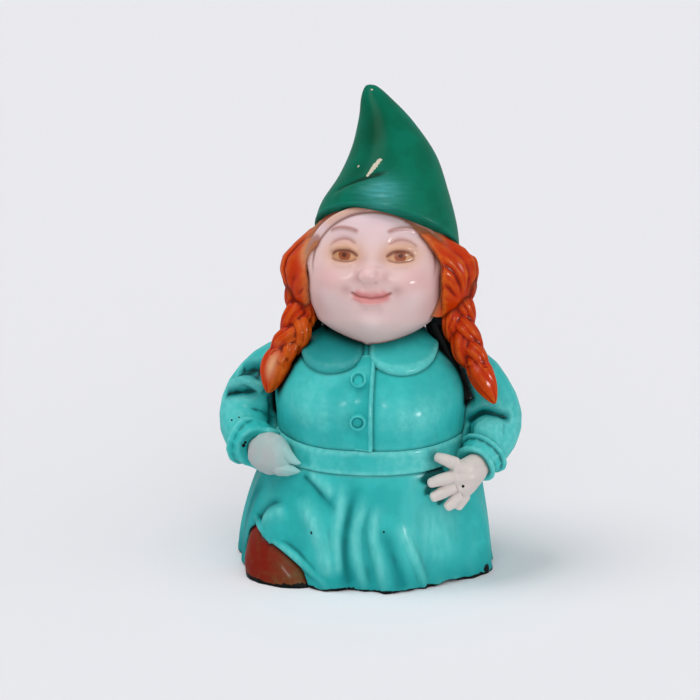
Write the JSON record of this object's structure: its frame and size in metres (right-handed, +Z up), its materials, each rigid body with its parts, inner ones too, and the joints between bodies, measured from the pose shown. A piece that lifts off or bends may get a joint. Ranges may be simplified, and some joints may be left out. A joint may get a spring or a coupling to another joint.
{
  "type": "gnome figurine",
  "caption": "Standing folk gnome woman with braids, pointed hat and long gathered dress, hands on her hips; a painted cast ornament that rests on its flat base.",
  "frame": {"origin": "middle of the flat base, on the surface that the figurine stands on", "axes": "+Z is up, she faces -Y, and her own right hand is on the -X side"},
  "size_m": [0.0733, 0.0519, 0.1145],
  "materials": {
    "turquoise": "brushed turquoise paint with a dark wash in the folds, satin varnish",
    "hat_green": "deep green glossy paint, lighter where it is dry-brushed",
    "skin": "pale pink paint with blushed cheeks, satin varnish",
    "hair": "orange-red paint with dark strands, satin varnish",
    "shoe_brown": "dark red-brown glossy paint"
  },
  "bodies": {
    "root": {"skirt": "turquoise", "shoe": "shoe_brown", "bodice": "turquoise", "waistband": "turquoise", "placket": "turquoise", "button_upper": "turquoise", "button_lower": "turquoise", "collar_right": "turquoise", "collar_left": "turquoise", "head": "skin", "hair": "hair", "hat": "hat_green", "sleeve_right": "turquoise", "sleeve_left": "turquoise", "cuff_right": "turquoise", "cuff_left": "turquoise", "hand_right": "skin", "hand_left": "skin", "braid_right": "hair", "braid_left": "hair"}
  },
  "joints": []
}
